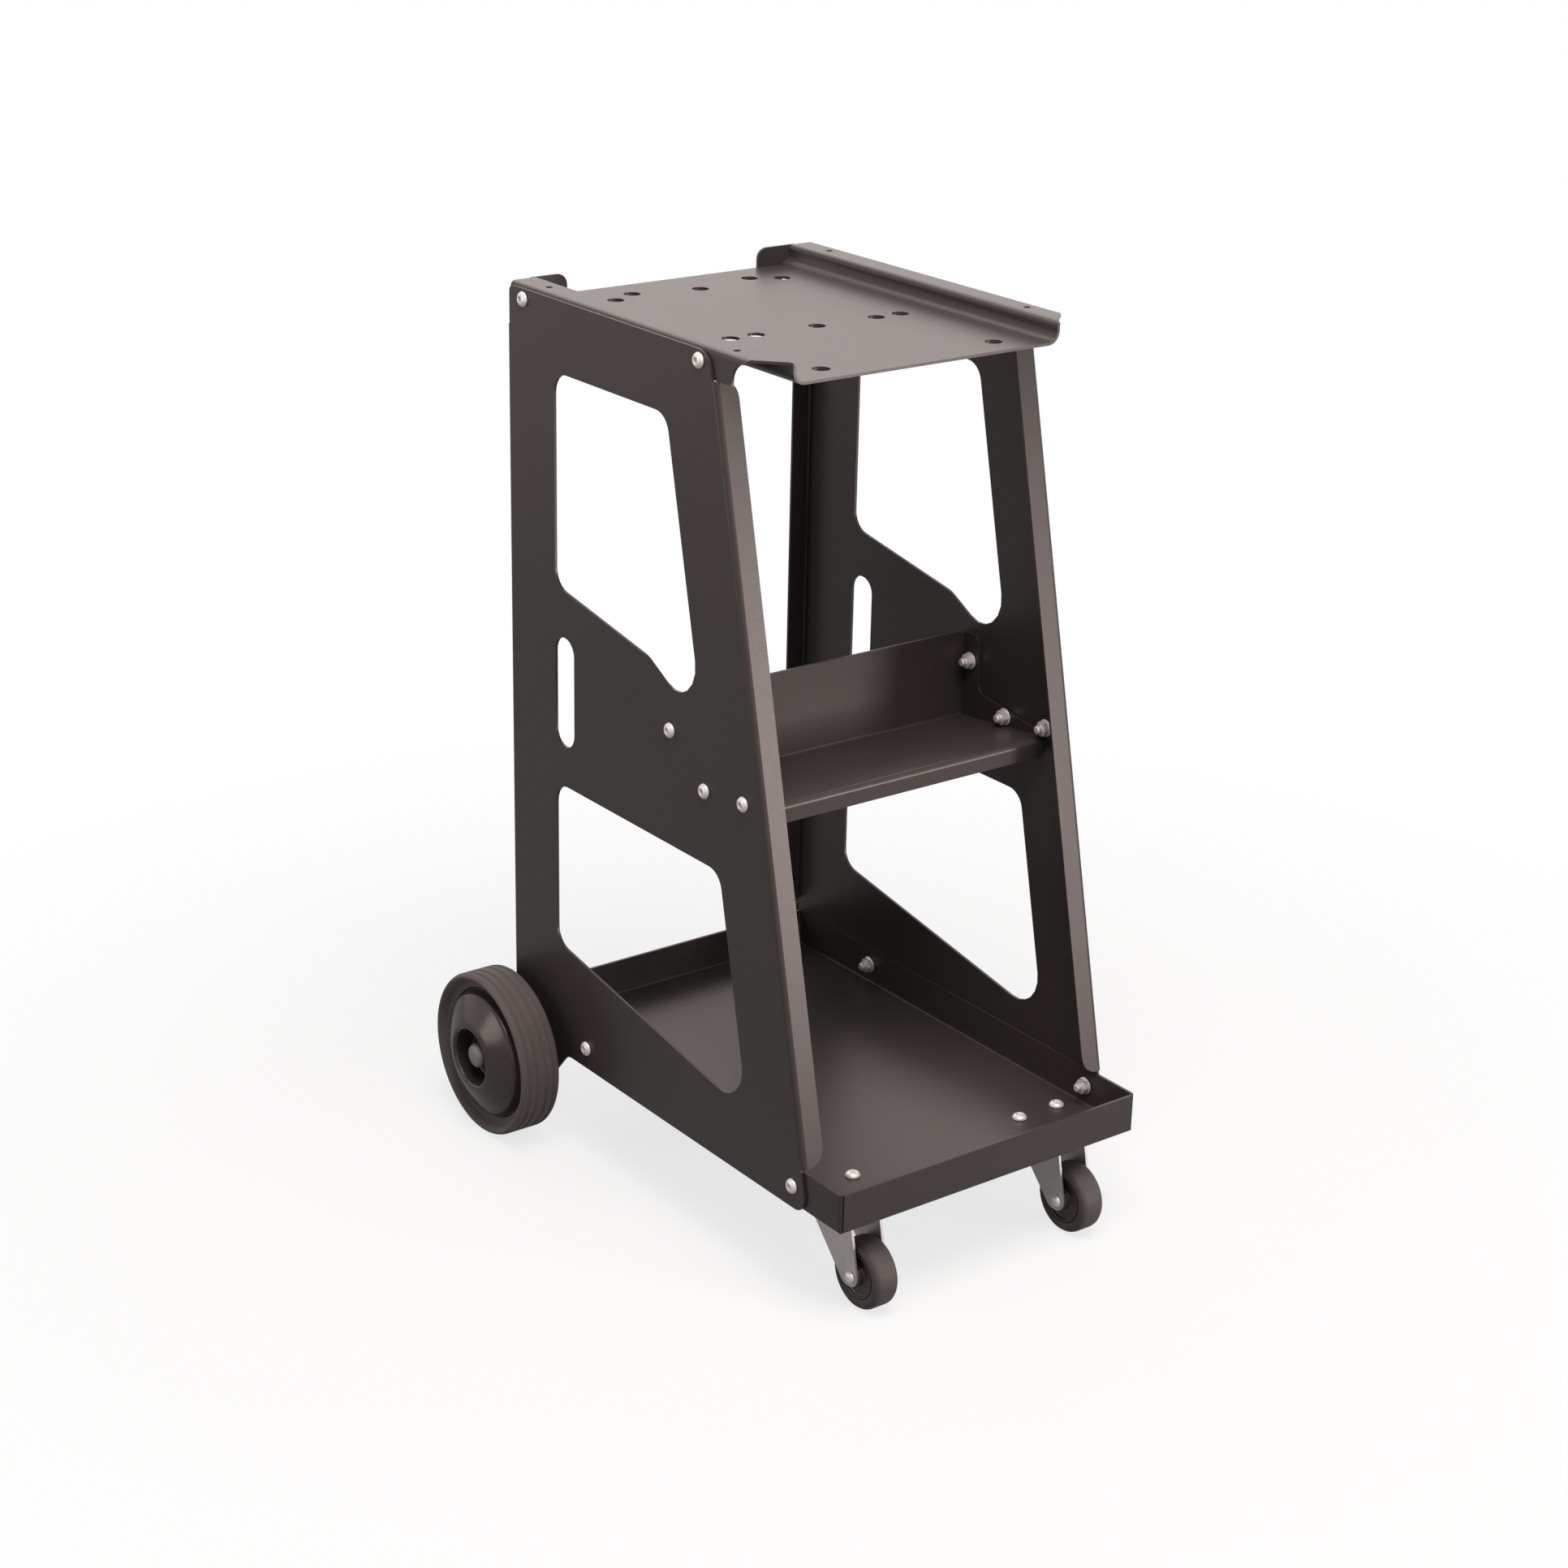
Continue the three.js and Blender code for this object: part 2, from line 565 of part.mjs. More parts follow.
// Middle shelf: a back wall, a floor that rises to the front, a turned-down lip and bolted end flanges.
function middleShelf() {
  const under = sheet * Math.hypot(1, middleSlope);
  const wallTop = middleFloor + middleWallHeight;
  const frontFloor = middleFloor + middleFloorRise;
  const section = roundedOutline([
    [middleWallFace + sheet, wallTop, 0],
    [middleWallFace, wallTop, 0],
    [middleWallFace, middleFloor, bend - sheet],
    [middleFront, frontFloor, bend],
    [middleFront, frontFloor - middleLipHeight, 0],
    [middleFront + sheet, frontFloor - middleLipHeight, 0],
    [middleFront + sheet, frontFloor - under - middleSlope * sheet, bend - sheet],
    [middleWallFace + sheet, middleFloor - under - middleSlope * sheet, bend],
  ]);
  const trough = sidePlate(section, -shelfHalf, shelfHalf);
  // The wall's upper corners and the lip's lower corners are rounded.
  const face = roundedOutline([
    [-shelfHalf, wallTop, middleFlangeRound],
    [-shelfHalf, frontFloor - middleLipHeight, middleFlangeRound],
    [shelfHalf, frontFloor - middleLipHeight, middleFlangeRound],
    [shelfHalf, wallTop, middleFlangeRound],
  ]);
  const lowTrim = frontPlate(face, middleFront - overrun, middleFront + bend);
  const highTrim = frontPlate(face, middleWallFace - bend, middleWallFace + sheet + overrun);
  const middleKeep = frontPlate(new THREE.Shape([
    new THREE.Vector2(-shelfHalf - overrun, baseHeight),
    new THREE.Vector2(shelfHalf + overrun, baseHeight),
    new THREE.Vector2(shelfHalf + overrun, topHeight),
    new THREE.Vector2(-shelfHalf - overrun, topHeight),
  ]), middleFront + bend, middleWallFace - bend);
  const body = trough.intersect(lowTrim.add(middleKeep).add(highTrim));
  const forward = middleWallFace - middleFlange;
  const [tabDepth, tabHeight] = middleBolts[middleBolts.length - 1];
  const tabRear = tabDepth + middleTabHalf;
  const tabFront = tabDepth - middleTabHalf;
  const tabTop = tabHeight + middleTabHalf;
  // The end flange falls from the wall to the floor and ends in a round tab at the front bolt.
  const flange = roundedOutline([
    [middleWallFace + sheet, wallTop - middleFlangeRound, 0],
    [middleWallFace, wallTop, 0],
    [forward, wallTop, middleFlangeRound],
    [forward, middleFloorAt(forward) + middleFlangeRear, middleFlangeRound],
    [tabRear, middleFloorAt(tabRear) + middleFlangeFront, 0],
    [tabRear, tabTop, middleTabHalf - gap],
    [tabFront, tabTop, middleTabHalf - gap],
    [tabFront, middleFloorAt(tabFront) - sheet, middleFlangeRound / 2],
    [middleWallFace + sheet, middleFloor - under, bend],
  ]);
  for (const [depth, height] of middleBolts) {
    flange.holes.push(roundOutline(depth, height, boltHole));
  }
  const end = sidePlate(flange, shelfHalf - sheet, shelfHalf);
  return body.add(end).add(end.mirror([1, 0, 0]));
}

// Bottom tray: a folded box with open corners, with holes for the side bolts and the caster bolts.
function bottomTray() {
  const box = (inset, low, high, round) => {
    const width = frontPlate(roundedOutline([
      [-shelfHalf + inset, high, 0], [-shelfHalf + inset, low, round],
      [shelfHalf - inset, low, round], [shelfHalf - inset, high, 0],
    ]), trayFront + inset, trayRear - inset);
    const depth = sidePlate(roundedOutline([
      [trayFront + inset, high, 0], [trayFront + inset, low, round],
      [trayRear - inset, low, round], [trayRear - inset, high, 0],
    ]), -shelfHalf + inset, shelfHalf - inset);
    const corner = Math.max(trayCornerRound - inset, 0);
    const plan = levelPlate(roundedOutline([
      [-shelfHalf + inset, trayFront + inset, corner], [shelfHalf - inset, trayFront + inset, corner],
      [shelfHalf - inset, trayRear - inset, corner], [-shelfHalf + inset, trayRear - inset, corner],
    ]), low, high);
    return width.intersect(depth).intersect(plan);
  };
  let tray = box(0, baseHeight, trayTop, bend).subtract(
    box(sheet, baseHeight + sheet, trayTop + overrun, bend - sheet));
  for (const across of [-1, 1]) {
    for (const depth of [trayFront, trayRear]) {
      const inwards = depth === trayFront ? 1 : -1;
      const nearX = across * (shelfHalf - sheet);
      const slit = levelPlate(new THREE.Shape([
        new THREE.Vector2(nearX - across * cornerSlit, depth - inwards * overrun),
        new THREE.Vector2(nearX, depth - inwards * overrun),
        new THREE.Vector2(nearX, depth + inwards * bend),
        new THREE.Vector2(nearX - across * cornerSlit, depth + inwards * bend),
      ]), baseHeight - overrun, trayTop + overrun);
      tray = tray.subtract(slit);
    }
    for (const [depth, height] of trayBolts) {
      const outline = roundOutline(depth, height, boltHole);
      const hole = sidePlate(outline, shelfHalf - sheet - overrun, shelfHalf + overrun);
      tray = tray.subtract(mirrored(hole, across));
    }
    for (const [x, y] of casterBoltPlaces(across)) {
      const outline = roundOutline(x, y, boltHole);
      tray = tray.subtract(levelPlate(outline, baseHeight - overrun, baseHeight + sheet + overrun));
    }
  }
  return tray;
}

// The four bolt places of one caster's plate as [across, depth].
function casterBoltPlaces(side) {
  const half = casterBoltSpacing / 2;
  const places = [];
  for (const across of [-half, half]) {
    for (const depth of [-half, half]) {
      places.push([side * (casterFromMiddle + across), casterDepth + depth]);
    }
  }
  return places;
}

// Round-headed bolt with its nut. The head sits on station 0 and the grip runs the other way.
function boltAndNut(grip, nut, end, axes) {
  const head = boltHeadHeight;
  const tip = -grip - nut - end;
  const shaft = turned([
    [0, head], [boltHeadRadius / 2, head], [boltHeadRadius, head / 2], [boltHeadRadius, 0],
    [boltRadius, 0], [boltRadius, tip], [0, tip],
  ], boltSides, axes);
  const hexagon = turned([
    [0, -grip], [nutAcrossFlats / 2, -grip], [nutAcrossFlats / 2, -grip - nut], [0, -grip - nut],
  ], hexagonSides, axes, true);
  return shaft.add(hexagon);
}

// Angles along a quarter turn
const quarterTurn = [...Array(arcSteps + 1).keys()].map((step) => (step * Math.PI) / (2 * arcSteps));

// Rounded shoulder of a tyre as [radius, station] points, from its side up to its tread.
function shoulder(radius, round, station, inwards) {
  return quarterTurn.map((angle) => [
    radius - round * (1 - Math.sin(angle)), station + inwards * round * (1 - Math.cos(angle)),
  ]);
}

// Tyre of a rear wheel with rounded shoulders and two fine grooves in its tread.
function rearTyre() {
  const middle = hubInner + rearWheelWidth / 2;
  const inner = hubInner;
  const outer = hubOuter;
  const bore = tyreBore + gap;
  const profile = [[bore, inner + rimInset], [bore + tyreBead, inner]];
  profile.push(...shoulder(rearWheelRadius, tyreShoulder, inner, 1));
  for (const groove of [middle - treadGrooveSpacing / 2, middle + treadGrooveSpacing / 2]) {
    profile.push([rearWheelRadius, groove - treadGroove]);
    profile.push([rearWheelRadius - treadGroove, groove]);
    profile.push([rearWheelRadius, groove + treadGroove]);
  }
  profile.push(...shoulder(rearWheelRadius, tyreShoulder, outer, -1).reverse());
  profile.push([bore + tyreBead, outer], [bore, outer - rimInset], profile[0]);
  return turned(profile, rearWheelSides, latheAlongX, true);
}

// Hub of a rear wheel: a rim, a ring-shaped recess, a domed disc and a recess round the axle's end.
function rearHub() {
  const bore = axleRadius + gap + bushWall + gap;
  const rim = hubOuter - rimInset;
  const back = hubInner + rimInset;
  const web = hubInner + hubWebSetback;
  const ringFloor = recessFloor - rimInset;
  const rimInside = tyreBore - rimThickness;
  const domeTop = hubOuter + hubDomeRise;
  const foot = tyreBore - hubDomeBelowRim;
  const edge = hubRecessRadius + hubDomeEdge;
  const dome = quarterTurn.map((angle) => [
    edge + (foot - edge) * Math.cos(angle), ringFloor + (domeTop - ringFloor) * Math.sin(angle),
  ]);
  const profile = [
    [bore, hubInner], [bore + hubBossWall, hubInner], [bore + hubBossWall, web], [rimInside, web],
    [rimInside, back], [tyreBore, back], [tyreBore, rim], [rimInside, rim],
    [rimInside, ringFloor], ...dome, [hubRecessRadius, domeTop - hubDomeEdge],
    [hubRecessRadius, recessFloor], [bore, recessFloor], [bore, hubInner],
  ];
  return turned(profile, rearWheelSides, latheAlongX, true);
}

// Axle right across the cart, through the feet of both panels and both wheels.
function rearAxle() {
  const end = recessFloor + axleStub;
  return turned([[0, -end], [axleRadius, -end], [axleRadius, end], [0, end]], roundSides, latheAlongX);
}

// Cap pressed on the axle's end inside the hub's recess.
function axleCap() {
  const from = recessFloor + gap;
  const end = recessFloor + axleStub + gap;
  const bore = axleRadius + gap;
  return turned([
    [bore, from], [capRadius, from], [capRadius, end], [capCrownRadius, end + capWall],
    [0, end + capWall], [0, end], [bore, end], [bore, from],
  ], roundSides, latheAlongX, true);
}

// Caster pieces are made round the swivel's axis at depth 0 and placed by the caller.
function casterPlateSolid() {
  const half = casterPlate / 2;
  const hole = casterBoltSpacing / 2;
  const outline = roundedOutline([
    [-half, -half, casterPlateRound], [half, -half, casterPlateRound],
    [half, half, casterPlateRound], [-half, half, casterPlateRound],
  ]);
  for (const across of [-1, 1]) {
    for (const depth of [-1, 1]) {
      outline.holes.push(roundOutline(across * hole, depth * hole, boltHole));
    }
  }
  outline.holes.push(roundOutline(0, 0, kingpinRadius + gap, roundSides));
  return levelPlate(outline, plateBottom, plateTop);
}

function kingpin() {
  const headTop = crownBottom - gap;
  return turned([
    [0, headTop - kingpinHeadHeight], [kingpinHead, headTop - kingpinHeadHeight], [kingpinHead, headTop],
    [kingpinRadius, headTop], [kingpinRadius, plateTop], [0, plateTop],
  ], roundSides, latheAlongZ);
}

// Fork: a round crown and two legs that reach forward to the wheel's axle.
function casterFork() {
  const inside = casterWheelWidth / 2 + forkClearance;
  const outside = inside + forkSheet;
  const axle = [-casterTrail, casterWheelRadius];
  const topFront = -forkTopFront;
  const topRear = forkTopRear;
  const leg = roundedOutline([
    [topFront, crownTop, 0],
    [axle[0] - forkEndRadius, axle[1] - forkEndRadius, forkEndRadius],
    [axle[0] + forkEndRadius, axle[1] - forkEndRadius, forkEndRadius],
    [topRear, crownTop - forkTopEdge, forkTopEdge / 2],
    [topRear, crownTop, 0],
  ]);
  leg.holes.push(roundOutline(axle[0], axle[1], casterAxleRadius + gap));
  const legs = sidePlate(leg, inside, outside);
  const crown = levelPlate(roundOutline(0, 0, crownRadius, casterWheelSides), crownBottom, crownTop);
  const bridge = levelPlate(new THREE.Shape([
    new THREE.Vector2(-outside, topFront), new THREE.Vector2(outside, topFront),
    new THREE.Vector2(outside, topRear), new THREE.Vector2(-outside, topRear),
  ]), crownBottom, crownTop);
  const pin = roundOutline(0, 0, kingpinRadius + gap, roundSides);
  const bore = levelPlate(pin, crownBottom - overrun, crownTop + overrun);
  return legs.add(legs.mirror([1, 0, 0])).add(crown).add(bridge).subtract(bore);
}

function casterTyre() {
  const half = casterWheelWidth / 2;
  const bore = casterTyreBore + gap;
  const profile = [[bore, casterBead - half], [bore + casterBead, -half]];
  profile.push(...shoulder(casterWheelRadius, casterShoulder, -half, 1));
  profile.push(...shoulder(casterWheelRadius, casterShoulder, half, -1).reverse());
  profile.push([bore + casterBead, half], [bore, half - casterBead], profile[0]);
  return turned(profile, casterWheelSides, latheAlongX, true);
}

function casterCore() {
  const half = casterWheelWidth / 2;
  const boss = half + forkClearance - gap;
  const web = half - casterWebSetback;
  const bore = casterAxleRadius + gap;
  const rimInside = casterTyreBore - casterBead;
  return turned([
    [bore, -boss], [bore + casterBossWall, -boss], [bore + casterBossWall, -web], [rimInside, -web],
    [casterTyreBore, casterBead - half], [casterTyreBore, half - casterBead],
    [rimInside, web], [bore + casterBossWall, web], [bore + casterBossWall, boss],
    [bore, boss], [bore, -boss],
  ], casterWheelSides, latheAlongX, true);
}

function casterAxle() {
  const seat = casterWheelWidth / 2 + forkClearance + forkSheet + gap;
  const end = seat + nutHeight + casterAxleEnd;
  return turned([
    [0, -seat - casterAxleHeadHeight], [casterAxleHead, -seat - casterAxleHeadEdge],
    [casterAxleHead, -seat], [casterAxleRadius, -seat], [casterAxleRadius, end], [0, end],
  ], roundSides, latheAlongX);
}

function casterAxleNut() {
  const seat = casterWheelWidth / 2 + forkClearance + forkSheet + gap;
  const outside = turned([
    [0, seat], [nutAcrossFlats / 2, seat], [nutAcrossFlats / 2, seat + nutHeight], [0, seat + nutHeight],
  ], hexagonSides, latheAlongX, true);
  const bore = casterAxleRadius + gap;
  const inside = ring(bore, nutAcrossFlats, seat, seat + nutHeight, roundSides, latheAlongX);
  return outside.intersect(inside);
}

// Finishes, from the photograph
const powderCoat = new THREE.MeshStandardMaterial({ color: 0x45403d, roughness: 0.5, metalness: 0.3 });
const zinc = new THREE.MeshStandardMaterial({ color: 0xbdb7b1, roughness: 0.35, metalness: 0.9 });
const rubber = new THREE.MeshStandardMaterial({ color: 0x4a4542, roughness: 0.8, metalness: 0 });
const plastic = new THREE.MeshStandardMaterial({ color: 0x524c49, roughness: 0.55, metalness: 0 });

const cart = new THREE.Group();

function add(name, solid, material, x = 0, y = 0, z = 0) {
  const mesh = new THREE.Mesh(geometryOf(solid), material);
  mesh.name = name;
  mesh.position.set(x, y, z);
  cart.add(mesh);
}

const sides = [['left', -1], ['right', 1]];
const panel = sidePanel();
const sideGrip = sheet + gap + sheet + 2 * gap;
const sideBolt = boltAndNut(sideGrip, nutHeight, boltEnd, latheAlongX);
const casterGrip = casterPlateThickness + gap + sheet + 2 * gap;
const casterBolt = boltAndNut(casterGrip, thinNutHeight, thinBoltEnd, latheAlongZ);

add('top_shelf', topShelf(), powderCoat);
add('middle_shelf', middleShelf(), powderCoat);
add('bottom_tray', bottomTray(), powderCoat);
add('rear_axle', rearAxle(), zinc, 0, axleDepth, axleHeight);

for (const [name, side] of sides) {
  add(`${name}_side_panel`, mirrored(panel, side), powderCoat);

  // Rear wheel on its end of the axle
  const bore = axleRadius + gap;
  const spacer = ring(bore, spacerRadius, panelHalf + gap, hubInner - gap, roundSides, latheAlongX);
  const bush = ring(bore, bore + bushWall, hubInner, recessFloor, roundSides, latheAlongX);
  add(`${name}_axle_spacer`, mirrored(spacer, side), zinc, 0, axleDepth, axleHeight);
  add(`${name}_wheel_bush`, mirrored(bush, side), plastic, 0, axleDepth, axleHeight);
  add(`${name}_wheel_hub`, mirrored(rearHub(), side), plastic, 0, axleDepth, axleHeight);
  add(`${name}_wheel_tyre`, mirrored(rearTyre(), side), rubber, 0, axleDepth, axleHeight);
  add(`${name}_axle_cap`, mirrored(axleCap(), side), zinc, 0, axleDepth, axleHeight);

  // Bolts that hold the shelves and the tray between the panels
  const seat = side * (panelHalf + gap);
  const groups = [
    ['top_shelf_bolt', shelfBolts], ['middle_shelf_bolt', middleBolts], ['tray_bolt', trayBolts],
  ];
  for (const [group, places] of groups) {
    places.forEach(([depth, height], index) => {
      add(`${name}_${group}_${index + 1}`, mirrored(sideBolt, side), zinc, seat, depth, height);
    });
  }

  // Caster under the tray's front corner
  const x = side * casterFromMiddle;
  add(`${name}_caster_plate`, casterPlateSolid(), zinc, x, casterDepth);
  const race = ring(
    kingpinRadius + gap, raceRadius, raceTop - raceHeight, raceTop, casterRoundSides, latheAlongZ);
  add(`${name}_caster_race`, race, zinc, x, casterDepth);
  add(`${name}_caster_kingpin`, kingpin(), zinc, x, casterDepth);
  add(`${name}_caster_fork`, casterFork(), zinc, x, casterDepth);
  add(`${name}_caster_core`, casterCore(), plastic, x, casterAxleDepth, casterWheelRadius);
  add(`${name}_caster_tyre`, casterTyre(), rubber, x, casterAxleDepth, casterWheelRadius);
  add(`${name}_caster_axle`, casterAxle(), zinc, x, casterAxleDepth, casterWheelRadius);
  add(`${name}_caster_axle_nut`, casterAxleNut(), zinc, x, casterAxleDepth, casterWheelRadius);
  casterBoltPlaces(side).forEach(([across, depth], index) => {
    add(`${name}_caster_bolt_${index + 1}`, casterBolt, zinc, across, depth, baseHeight + sheet + gap);
  });
}

export default cart;
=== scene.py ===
import json
import math
import bpy
import bmesh
from mathutils import Matrix, Vector


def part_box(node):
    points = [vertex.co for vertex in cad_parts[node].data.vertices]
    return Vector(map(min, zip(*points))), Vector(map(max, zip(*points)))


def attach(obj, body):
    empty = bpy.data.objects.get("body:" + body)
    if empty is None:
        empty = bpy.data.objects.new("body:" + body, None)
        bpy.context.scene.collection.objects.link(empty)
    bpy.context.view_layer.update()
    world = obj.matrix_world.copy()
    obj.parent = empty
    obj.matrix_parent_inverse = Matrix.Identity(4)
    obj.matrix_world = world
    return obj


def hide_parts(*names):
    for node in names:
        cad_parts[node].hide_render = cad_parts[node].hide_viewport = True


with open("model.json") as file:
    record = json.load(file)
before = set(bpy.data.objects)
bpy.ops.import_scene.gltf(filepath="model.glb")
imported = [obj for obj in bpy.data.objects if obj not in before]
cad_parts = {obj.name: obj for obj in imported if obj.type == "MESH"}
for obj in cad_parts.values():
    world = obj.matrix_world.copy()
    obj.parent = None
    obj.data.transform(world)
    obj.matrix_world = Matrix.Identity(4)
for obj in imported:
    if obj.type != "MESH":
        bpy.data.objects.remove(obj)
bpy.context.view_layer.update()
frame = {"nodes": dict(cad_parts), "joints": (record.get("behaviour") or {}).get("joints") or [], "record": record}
nodes = frame["nodes"]
bodies = frame["record"]["behaviour"]["bodies"]
bodyOf = {node: body for body, members in bodies.items() for node in members}
pivots = {joint["name"]: Vector(joint["pos_m"]) for joint in frame["joints"]}
mm = 0.001
sides = {"left": -1, "right": 1}
print("frame loaded with", len(nodes), "solids")

# camera, solved from the photograph's straight edges; angles in degrees
photoCamera = {
    "place": (-1.2424, -1.6139, 1.0888),
    "azimuth": -37.14,
    "elevation": 21.29,
    "roll": 1.29,
    "lens": 70.27,
    "sensor": 36.0,
}


def setCamera():
    azimuth = math.radians(photoCamera["azimuth"])
    elevation = math.radians(photoCamera["elevation"])
    roll = math.radians(photoCamera["roll"])
    back = Vector((
        math.sin(azimuth) * math.cos(elevation),
        -math.cos(azimuth) * math.cos(elevation),
        math.sin(elevation),
    ))
    level = Vector((math.cos(azimuth), math.sin(azimuth), 0))
    upright = back.cross(level)
    right = math.cos(roll) * level + math.sin(roll) * upright
    up = math.cos(roll) * upright - math.sin(roll) * level
    data = bpy.data.cameras.new("photoCamera")
    data.lens = photoCamera["lens"]
    data.sensor_width = photoCamera["sensor"]
    camera = bpy.data.objects.new("photoCamera", data)
    camera.matrix_world = Matrix((right, up, back)).transposed().to_4x4()
    camera.location = photoCamera["place"]
    bpy.context.scene.collection.objects.link(camera)
    bpy.context.scene.camera = camera


setCamera()
bpy.context.scene.view_settings.view_transform = "Standard"
print("camera set")


# node helpers
def addNode(tree, kind, **settings):
    node = tree.nodes.new(kind)
    for key, value in settings.items():
        setattr(node, key, value)
    return node


def addMath(tree, operation, *values):
    # each value is a number, or the socket that gives it
    node = addNode(tree, "ShaderNodeMath", operation=operation)
    for socket, value in zip(node.inputs, values):
        if isinstance(value, bpy.types.NodeSocket):
            tree.links.new(value, socket)
        else:
            socket.default_value = value
    return node.outputs[0]


def addNoise(tree, place, scale, detail):
    noise = addNode(tree, "ShaderNodeTexNoise")
    noise.inputs["Detail"].default_value = detail
    tree.links.new(place, noise.inputs["Vector"])
    tree.links.new(scale, noise.inputs["Scale"])
    return noise.outputs["Fac"]


def addMapRange(tree, source, fromSpan, toSpan, interpolation="LINEAR"):
    node = addNode(tree, "ShaderNodeMapRange", interpolation_type=interpolation)
    for socket, value in zip(("From Min", "From Max", "To Min", "To Max"), (*fromSpan, *toSpan)):
        node.inputs[socket].default_value = value
    tree.links.new(source, node.inputs["Value"])
    return node.outputs["Result"]


def addMixShader(tree, share, first, second):
    node = addNode(tree, "ShaderNodeMixShader")
    for socket, source in zip(node.inputs, (share, first, second)):
        tree.links.new(source, socket)
    return node.outputs[0]


# grain shared by every finish
fineGrainSet = {
    "inputs": {  # the group's input and the finish's value for it
        "Colour": "colour",
        "Drift": "drift",
        "Roughness": "roughness",
        "Spread": "spread",
        "Drift Scale": "driftScale",
        "Grain Scale": "grainScale",
    },
    "outputs": ("Colour", "Roughness", "Height"),
    "driftDetail": 4,
    "grainDetail": 3,
    "noiseMean": 0.5,
    "bumpDistance": 0.4 * mm,
}


def fineGrainGroup():
    # slow noise shifts the colour, fine noise shifts the roughness and is the bump's height
    tree = bpy.data.node_groups.new("fineGrain", "ShaderNodeTree")
    for way, names in (("INPUT", fineGrainSet["inputs"]), ("OUTPUT", fineGrainSet["outputs"])):
        for name in names:
            kind = "NodeSocketColor" if name == "Colour" else "NodeSocketFloat"
            tree.interface.new_socket(name, in_out=way, socket_type=kind)
    given = addNode(tree, "NodeGroupInput")
    out = addNode(tree, "NodeGroupOutput")
    place = addNode(tree, "ShaderNodeTexCoord").outputs["Object"]
    drift = addNoise(tree, place, given.outputs["Drift Scale"], fineGrainSet["driftDetail"])
    grain = addNoise(tree, place, given.outputs["Grain Scale"], fineGrainSet["grainDetail"])
    slow = addMath(tree, "SUBTRACT", drift, fineGrainSet["noiseMean"])
    fine = addMath(tree, "SUBTRACT", grain, fineGrainSet["noiseMean"])
    shift = addNode(tree, "ShaderNodeHueSaturation")
    brightness = addMath(tree, "MULTIPLY_ADD", slow, given.outputs["Drift"], 1)
    roughness = addMath(tree, "MULTIPLY_ADD", fine, given.outputs["Spread"], given.outputs["Roughness"])
    tree.links.new(given.outputs["Colour"], shift.inputs["Color"])
    tree.links.new(brightness, shift.inputs["Value"])
    tree.links.new(shift.outputs["Color"], out.inputs["Colour"])
    tree.links.new(roughness, out.inputs["Roughness"])
    tree.links.new(grain, out.inputs["Height"])
    return tree


fineGrain = fineGrainGroup()

warmTint = (1, 0.9, 0.87, 1)
plainTint = (1, 1, 1, 1)
finishes = {
    "powderCoat": {
        "colour": (0.047, 0.0405, 0.0385, 1), "drift": 0.25, "driftScale": 7,
        "roughness": 0.33, "spread": 0.2, "grainScale": 1500, "bump": 0.08,
        "metallic": 0.0, "ior": 1.37, "tint": warmTint,
    },
    "zincBright": {
        "colour": (0.84, 0.80, 0.78, 1), "drift": 0.3, "driftScale": 160,
        "roughness": 0.34, "spread": 0.25, "grainScale": 2500, "bump": 0.05,
        "metallic": 0.35, "ior": 1.5, "tint": plainTint,
    },
    "dullSteel": {
        "colour": (0.26, 0.235, 0.228, 1), "drift": 0.35, "driftScale": 200,
        "roughness": 0.45, "spread": 0.25, "grainScale": 2200, "bump": 0.06,
        "metallic": 0.4, "ior": 1.4, "tint": plainTint,
    },
    "zincFork": {
        "colour": (0.54, 0.51, 0.50, 1), "drift": 0.3, "driftScale": 90,
        "roughness": 0.42, "spread": 0.3, "grainScale": 1800, "bump": 0.08,
        "metallic": 0.6, "ior": 1.5, "tint": plainTint,
    },
    "tyreRubber": {
        "colour": (0.128, 0.112, 0.107, 1), "drift": 0.35, "driftScale": 40,
        "roughness": 0.6, "spread": 0.3, "grainScale": 1200, "bump": 0.15,
        "metallic": 0.0, "ior": 1.25, "tint": warmTint,
    },
    "casterRubber": {
        "colour": (0.08, 0.071, 0.068, 1), "drift": 0.35, "driftScale": 60,
        "roughness": 0.55, "spread": 0.3, "grainScale": 1500, "bump": 0.12,
        "metallic": 0.0, "ior": 1.3, "tint": warmTint,
    },
    "hubPlastic": {
        "colour": (0.048, 0.042, 0.040, 1), "drift": 0.2, "driftScale": 30,
        "roughness": 0.18, "spread": 0.1, "grainScale": 1600, "bump": 0.05,
        "metallic": 0.0, "ior": 1.42, "tint": warmTint,
    },
}


def makeFinish(name):
    spec = finishes[name]
    material = bpy.data.materials.new(name)
    material.use_nodes = True
    tree = material.node_tree
    shader = tree.nodes["Principled BSDF"]
    grain = addNode(tree, "ShaderNodeGroup", node_tree=fineGrain)
    for socket, key in fineGrainSet["inputs"].items():
        grain.inputs[socket].default_value = spec[key]
    bump = addNode(tree, "ShaderNodeBump")
    bump.inputs["Strength"].default_value = spec["bump"]
    bump.inputs["Distance"].default_value = fineGrainSet["bumpDistance"]
    tree.links.new(grain.outputs["Colour"], shader.inputs["Base Color"])
    tree.links.new(grain.outputs["Roughness"], shader.inputs["Roughness"])
    tree.links.new(grain.outputs["Height"], bump.inputs["Height"])
    tree.links.new(bump.outputs["Normal"], shader.inputs["Normal"])
    for socket, key in (("Metallic", "metallic"), ("IOR", "ior"), ("Specular Tint", "tint")):
        shader.inputs[socket].default_value = spec[key]
    return material


finish = {name: makeFinish(name) for name in finishes}
print("finishes made:", ", ".join(finish))

